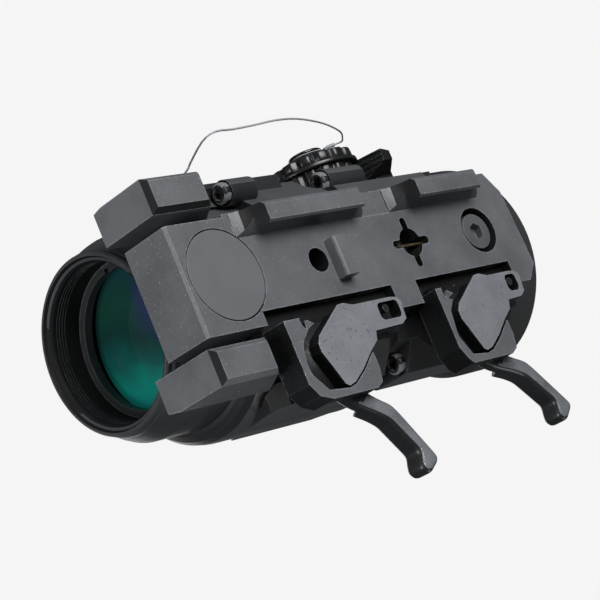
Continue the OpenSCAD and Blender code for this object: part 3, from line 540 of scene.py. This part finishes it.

# painted shade on bevels, walls and hollows that stay dark next to the paler flats; painted highlight on screw rings;
# painted light on housing faces
# painted shade on the front-bottom chamfer of both cheeks
for name in ("left_cheek", "right_cheek"):
    paint(soft[name], "shadow", lambda normal, centre: normal.y > 0.7 and normal.z < -0.4)
# painted shade on the jaw and bracket faces that do not face down
for name in ("front_jaw", "rear_jaw", "front_clamp_bracket", "rear_clamp_bracket"):
    paint(soft[name], "jaw_wall_shade", lambda normal, centre: normal.z > -0.5)
# painted shade under the shelf, on the recess walls and in the hook scoops
paint(soft["mount_base"], "shadow", lambda normal, centre: normal.z < -0.5 and centre.z > 1)
paint(soft["mount_base"], "shadow",
      lambda normal, centre: abs(normal.z) < 0.3 and centre.x > 7 and -54 < centre.y < 30 and centre.z > 0.2)
paint(soft["mount_base"], "shadow", lambda normal, centre: normal.y > 0.5 and centre.z < -0.3 and centre.x < -5)
HOLLOWS = ((0.5, 5.3, 3), (0.4, -24.3, 6.2), (0.5, -47.6, 5.8))     # x, y and reach of each opening in the seat
# painted shade inside the openings of the seat
for x, y, reach in HOLLOWS:
    paint(soft["mount_base"], "shadow",
          lambda normal, centre: abs(normal.z) < 0.3 and math.hypot(centre.x - x, centre.y - y) < reach)
# painted shade on the inner bottom bevel of the left cheek
paint(soft["left_cheek"], "shadow", lambda normal, centre: normal.x > 0.3 and normal.z < -0.3)
# painted shade on the hook flanks that face +X and down
paint(soft["mount_base"], "flank", lambda normal, centre: normal.x > 0.3 and normal.z < -0.3 and centre.z < -0.5)
wire = frame["nodes"]["cap_tether"]
wire.data.shade_smooth()
# painted highlight on the bevel ring of the side screws
paint(soft["side_screws"], "head", lambda normal, centre: 0.3 < abs(normal.x) < 0.9)
# painted shade on the inner walls of the objective bell
paint(frame["nodes"]["objective_bell"], "shadow",
      lambda normal, centre: normal.x * centre.x + normal.z * (centre.z - AXIS_Z / MM) < -0.3 * abs(centre.x))
housing = frame["nodes"]["main_housing"]
# painted light: flat side panels as a painted reflection, and faces turned to -X and down, towards the key lamp
paint(housing, "side", lambda normal, centre: abs(normal.x) > 0.9 and abs(centre.x) > 23)
paint(housing, "side", lambda normal, centre: normal.x < -0.3 and normal.z < -0.3)


# ---------- studio ----------

def floor():
    """Pale floor that is only seen from above, so a view from below looks past it."""
    low = min(corner[2] for corner in size_before)
    bpy.ops.mesh.primitive_plane_add(size=4, location=(0, 0, low - 0.0002))
    plane = bpy.context.active_object
    plane.name = "floor"
    s = Shader("floor_paper")
    path = s.tree.nodes.new("ShaderNodeLightPath")
    geometry = s.tree.nodes.new("ShaderNodeNewGeometry")
    seen = s.math("MULTIPLY", path.outputs["Is Camera Ray"], s.math("SUBTRACT", 1.0, geometry.outputs["Backfacing"]))
    paper = s.node("BsdfDiffuse", Color=(0.6, 0.6, 0.6, 1))
    glow = s.node("Emission", Color=(0.5, 0.5, 0.5, 1))
    lit = s.tree.nodes.new("ShaderNodeAddShader")
    s.feed(lit.inputs[0], paper.outputs[0])
    s.feed(lit.inputs[1], glow.outputs[0])
    clear = s.tree.nodes.new("ShaderNodeBsdfTransparent")
    mix = s.tree.nodes.new("ShaderNodeMixShader")
    s.feed(mix.inputs[0], seen)
    s.feed(mix.inputs[1], clear.outputs[0])
    s.feed(mix.inputs[2], lit.outputs[0])
    plane.data.materials.append(s.finish(mix.outputs[0]))


def world():
    """Pale backdrop for the camera, dimmer light for everything else."""
    made = bpy.data.worlds.new("studio")
    bpy.context.scene.world = made
    made.use_nodes = True
    tree = made.node_tree
    tree.nodes.clear()
    path = tree.nodes.new("ShaderNodeLightPath")
    seen = tree.nodes.new("ShaderNodeBackground")
    seen.inputs[0].default_value = PALE
    light = tree.nodes.new("ShaderNodeBackground")
    light.inputs[0].default_value = (0.9, 0.95, 1.0, 1)
    light.inputs[1].default_value = 0.08
    mix = tree.nodes.new("ShaderNodeMixShader")
    output = tree.nodes.new("ShaderNodeOutputWorld")
    tree.links.new(path.outputs["Is Camera Ray"], mix.inputs[0])
    tree.links.new(light.outputs[0], mix.inputs[1])
    tree.links.new(seen.outputs[0], mix.inputs[2])
    tree.links.new(mix.outputs[0], output.inputs[0])


def soft_light(name, place, target, side, watts):
    data = bpy.data.lights.new(name, "AREA")
    data.shape = "DISK"
    data.size = side
    data.energy = watts
    lamp = bpy.data.objects.new(name, data)
    bpy.context.scene.collection.objects.link(lamp)
    lamp.location = place
    lamp.rotation_euler = (Vector(target) - Vector(place)).to_track_quat("-Z", "Y").to_euler()


def camera():
    """Camera below and in front of the sight, rolled so that the sight lies across the picture."""
    place = Vector((87.8, 336.3, -298.6)) * MM
    look = Vector((-0.17884, -0.72055, 0.66994)).normalized()
    up = Vector((-0.90931, -0.13898, -0.39222))
    right = look.cross(up).normalized()
    up = right.cross(look)
    turn = Matrix((right, up, -look)).transposed().to_4x4()
    data = bpy.data.cameras.new("camera")
    data.lens = 132.52
    data.sensor_width = 36
    data.clip_start = 0.01
    made = bpy.data.objects.new("camera", data)
    bpy.context.scene.collection.objects.link(made)
    made.matrix_world = Matrix.Translation(place) @ turn
    bpy.context.scene.camera = made


floor()
world()
soft_light("key_below", (-0.25, 0.12, -0.58), (0, 0, 0), 0.45, 5.5)
soft_light("fill_front", (0.10, 0.60, 0.05), (0, 0, 0.03), 0.35, 2.4)
soft_light("side", (0.55, -0.25, -0.05), (0, 0, 0.03), 0.3, 0.6)
soft_light("top", (0.0, -0.2, 0.6), (0, 0, 0.03), 0.5, 0.8)
camera()
bpy.context.scene.view_settings.view_transform = "Standard"
